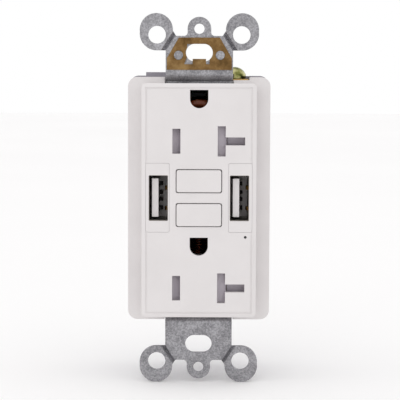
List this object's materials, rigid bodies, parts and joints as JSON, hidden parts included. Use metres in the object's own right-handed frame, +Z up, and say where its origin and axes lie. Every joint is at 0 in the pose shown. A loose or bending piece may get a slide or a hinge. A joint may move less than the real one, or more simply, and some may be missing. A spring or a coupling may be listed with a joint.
{
  "type": "gfci outlet",
  "caption": "White decorator ground-fault duplex outlet with tee slots, USB ports, test and reset buttons, steel strap and side-wired rear body.",
  "frame": {"origin": "in the wall plane, on the rear faces of the strap tabs, midway between the two wall-screw slots", "axes": "+X to the right across the face, +Y into the wall, +Z up along the strap"},
  "size_m": [0.0406, 0.0402, 0.1056],
  "materials": {
    "white_plastic": "moulded, satin",
    "grey_plastic": "moulded",
    "frame_plastic": "moulded",
    "carrier_plastic": "moulded",
    "zinc_steel": "zinc plated",
    "nickel_screw": "nickel plated",
    "brass": "rolled",
    "green_screw": "green passivated",
    "spring_steel": "drawn wire",
    "copper_winding": "enamelled wire",
    "circuit_board": "solder mask",
    "component_body": "epoxy coated",
    "transformer_tape": "polyester tape",
    "clear_plastic": "moulded clear"
  },
  "bodies": {
    "root": {"front_cover": "white_plastic", "usb_bezels": "white_plastic", "rear_body": "grey_plastic", "inner_frame": "frame_plastic", "mounting_strap": "zinc_steel", "ground_clip": "brass", "clip_rivets": "zinc_steel", "ground_contacts": "brass", "ground_terminal": "brass", "hot_bus": "brass", "neutral_bus": "brass", "line_hot_terminal": "brass", "line_neutral_terminal": "nickel_screw", "load_hot_terminal": "brass", "load_neutral_terminal": "nickel_screw", "shutter_caps": "grey_plastic", "shutter_spring_upper": "spring_steel", "shutter_spring_lower": "spring_steel", "test_spring": "spring_steel", "test_contact": "brass", "reset_spring": "spring_steel", "coil_conductors": "brass", "coil_housing": "frame_plastic", "sense_coil": "copper_winding", "neutral_coil": "copper_winding", "solenoid_bobbin": "frame_plastic", "solenoid_winding": "copper_winding", "plunger_spring": "spring_steel", "main_board": "circuit_board", "board_parts": "component_body", "usb_board": "circuit_board", "usb_transformer": "transformer_tape", "usb_shells": "zinc_steel", "usb_tongues": "white_plastic", "usb_contacts": "brass", "status_led": "clear_plastic", "light_pipe": "clear_plastic", "case_screws": "zinc_steel"},
    "reset_button": {"reset_button": "white_plastic", "reset_pin": "zinc_steel"},
    "test_button": {"test_button": "white_plastic"},
    "shutter_upper": {"shutter_upper": "grey_plastic"},
    "shutter_lower": {"shutter_lower": "grey_plastic"},
    "bar_shutter_upper": {"bar_shutter_upper": "grey_plastic"},
    "bar_shutter_lower": {"bar_shutter_lower": "grey_plastic"},
    "plunger": {"solenoid_plunger": "zinc_steel"},
    "latch_carrier": {"latch_carrier": "carrier_plastic"},
    "latch_plate": {"latch_plate": "zinc_steel"},
    "contact_arm_hot": {"contact_arm_hot": "brass"},
    "contact_arm_neutral": {"contact_arm_neutral": "brass"},
    "ground_clamp": {"ground_clamp": "brass"},
    "ground_screw": {"ground_screw": "green_screw"},
    "line_hot_clamp": {"line_hot_clamp": "brass"},
    "line_hot_screw": {"line_hot_screw": "brass"},
    "line_neutral_clamp": {"line_neutral_clamp": "nickel_screw"},
    "line_neutral_screw": {"line_neutral_screw": "nickel_screw"},
    "load_hot_clamp": {"load_hot_clamp": "brass"},
    "load_hot_screw": {"load_hot_screw": "brass"},
    "load_neutral_clamp": {"load_neutral_clamp": "nickel_screw"},
    "load_neutral_screw": {"load_neutral_screw": "nickel_screw"}
  },
  "joints": [
    {"name": "reset_press", "type": "slide", "parent": "root", "child": "reset_button", "axis": [0, 1, 0], "range_m": [0, 0.002], "stiffness_N_per_m": 900, "springref_m": -0.002, "deforming": ["reset_spring"]},
    {"name": "test_press", "type": "slide", "parent": "root", "child": "test_button", "axis": [0, 1, 0], "range_m": [0, 0.001], "stiffness_N_per_m": 900, "springref_m": -0.002, "deforming": ["test_spring"]},
    {"name": "shutter_upper_slide", "type": "slide", "parent": "root", "child": "shutter_upper", "axis": [-1, 0, 0], "range_m": [0, 0.0028], "stiffness_N_per_m": 120, "springref_m": -0.001, "deforming": ["shutter_spring_upper"]},
    {"name": "shutter_lower_slide", "type": "slide", "parent": "root", "child": "shutter_lower", "axis": [-1, 0, 0], "range_m": [0, 0.0028], "stiffness_N_per_m": 120, "springref_m": -0.001, "deforming": ["shutter_spring_lower"]},
    {"name": "bar_shutter_upper_slide", "type": "slide", "parent": "root", "child": "bar_shutter_upper", "axis": [0, 0, 1], "range_m": [0, 0.0028], "stiffness_N_per_m": 60, "springref_m": -0.001},
    {"name": "bar_shutter_lower_slide", "type": "slide", "parent": "root", "child": "bar_shutter_lower", "axis": [0, 0, 1], "range_m": [0, 0.0028], "stiffness_N_per_m": 60, "springref_m": -0.001},
    {"name": "plunger_stroke", "type": "slide", "parent": "root", "child": "plunger", "axis": [0, 0, 1], "range_m": [0, 0.0014], "stiffness_N_per_m": 150, "springref_m": -0.002, "deforming": ["plunger_spring"]},
    {"name": "carrier_lift", "type": "slide", "parent": "root", "child": "latch_carrier", "axis": [0, -1, 0], "range_m": [0, 0.001], "stiffness_N_per_m": 300, "springref_m": -0.001},
    {"name": "latch_slide", "type": "slide", "parent": "latch_carrier", "child": "latch_plate", "axis": [0, 0, 1], "range_m": [0, 0.0014]},
    {"name": "arm_hot_swing", "type": "hinge", "parent": "root", "child": "contact_arm_hot", "pos_m": [-0.0064, 0.01245, 0.013], "axis": [-1, 0, 0], "range_deg": [0, 5]},
    {"name": "arm_neutral_swing", "type": "hinge", "parent": "root", "child": "contact_arm_neutral", "pos_m": [0.0064, 0.01245, 0.013], "axis": [-1, 0, 0], "range_deg": [0, 5]},
    {"name": "line_hot_clamp_slide", "type": "slide", "parent": "root", "child": "line_hot_clamp", "axis": [1, 0, 0], "range_m": [0, 0.00198]},
    {"name": "line_hot_screw_turn", "type": "hinge", "parent": "line_hot_clamp", "child": "line_hot_screw", "pos_m": [-0.018, 0.017, 0.019], "axis": [1, 0, 0], "range_deg": [0, 900]},
    {"name": "line_neutral_clamp_slide", "type": "slide", "parent": "root", "child": "line_neutral_clamp", "axis": [-1, 0, 0], "range_m": [0, 0.00198]},
    {"name": "line_neutral_screw_turn", "type": "hinge", "parent": "line_neutral_clamp", "child": "line_neutral_screw", "pos_m": [0.018, 0.017, 0.019], "axis": [-1, 0, 0], "range_deg": [0, 900]},
    {"name": "load_hot_clamp_slide", "type": "slide", "parent": "root", "child": "load_hot_clamp", "axis": [1, 0, 0], "range_m": [0, 0.00198]},
    {"name": "load_hot_screw_turn", "type": "hinge", "parent": "load_hot_clamp", "child": "load_hot_screw", "pos_m": [-0.018, 0.017, -0.019], "axis": [1, 0, 0], "range_deg": [0, 900]},
    {"name": "load_neutral_clamp_slide", "type": "slide", "parent": "root", "child": "load_neutral_clamp", "axis": [-1, 0, 0], "range_m": [0, 0.00198]},
    {"name": "load_neutral_screw_turn", "type": "hinge", "parent": "load_neutral_clamp", "child": "load_neutral_screw", "pos_m": [0.018, 0.017, -0.019], "axis": [-1, 0, 0], "range_deg": [0, 900]},
    {"name": "ground_clamp_slide", "type": "slide", "parent": "root", "child": "ground_clamp", "axis": [0, 0, 1], "range_m": [0, 0.00159]},
    {"name": "ground_screw_turn", "type": "hinge", "parent": "ground_clamp", "child": "ground_screw", "pos_m": [0.0103, 0.0109, 0.0343], "axis": [0, 0, 1], "range_deg": [0, 720]}
  ],
  "couplings": [
    {"joint": "latch_slide", "follows": "plunger_stroke", "ratio": 1},
    {"joint": "arm_hot_swing", "follows": "carrier_lift", "rad_per_m": 83.3},
    {"joint": "arm_neutral_swing", "follows": "carrier_lift", "rad_per_m": 83.3},
    {"joint": "line_hot_screw_turn", "follows": "line_hot_clamp_slide", "rad_per_m": 7913.3},
    {"joint": "line_neutral_screw_turn", "follows": "line_neutral_clamp_slide", "rad_per_m": 7913.3},
    {"joint": "load_hot_screw_turn", "follows": "load_hot_clamp_slide", "rad_per_m": 7913.3},
    {"joint": "load_neutral_screw_turn", "follows": "load_neutral_clamp_slide", "rad_per_m": 7913.3},
    {"joint": "ground_screw_turn", "follows": "ground_clamp_slide", "rad_per_m": 7913.3}
  ]
}
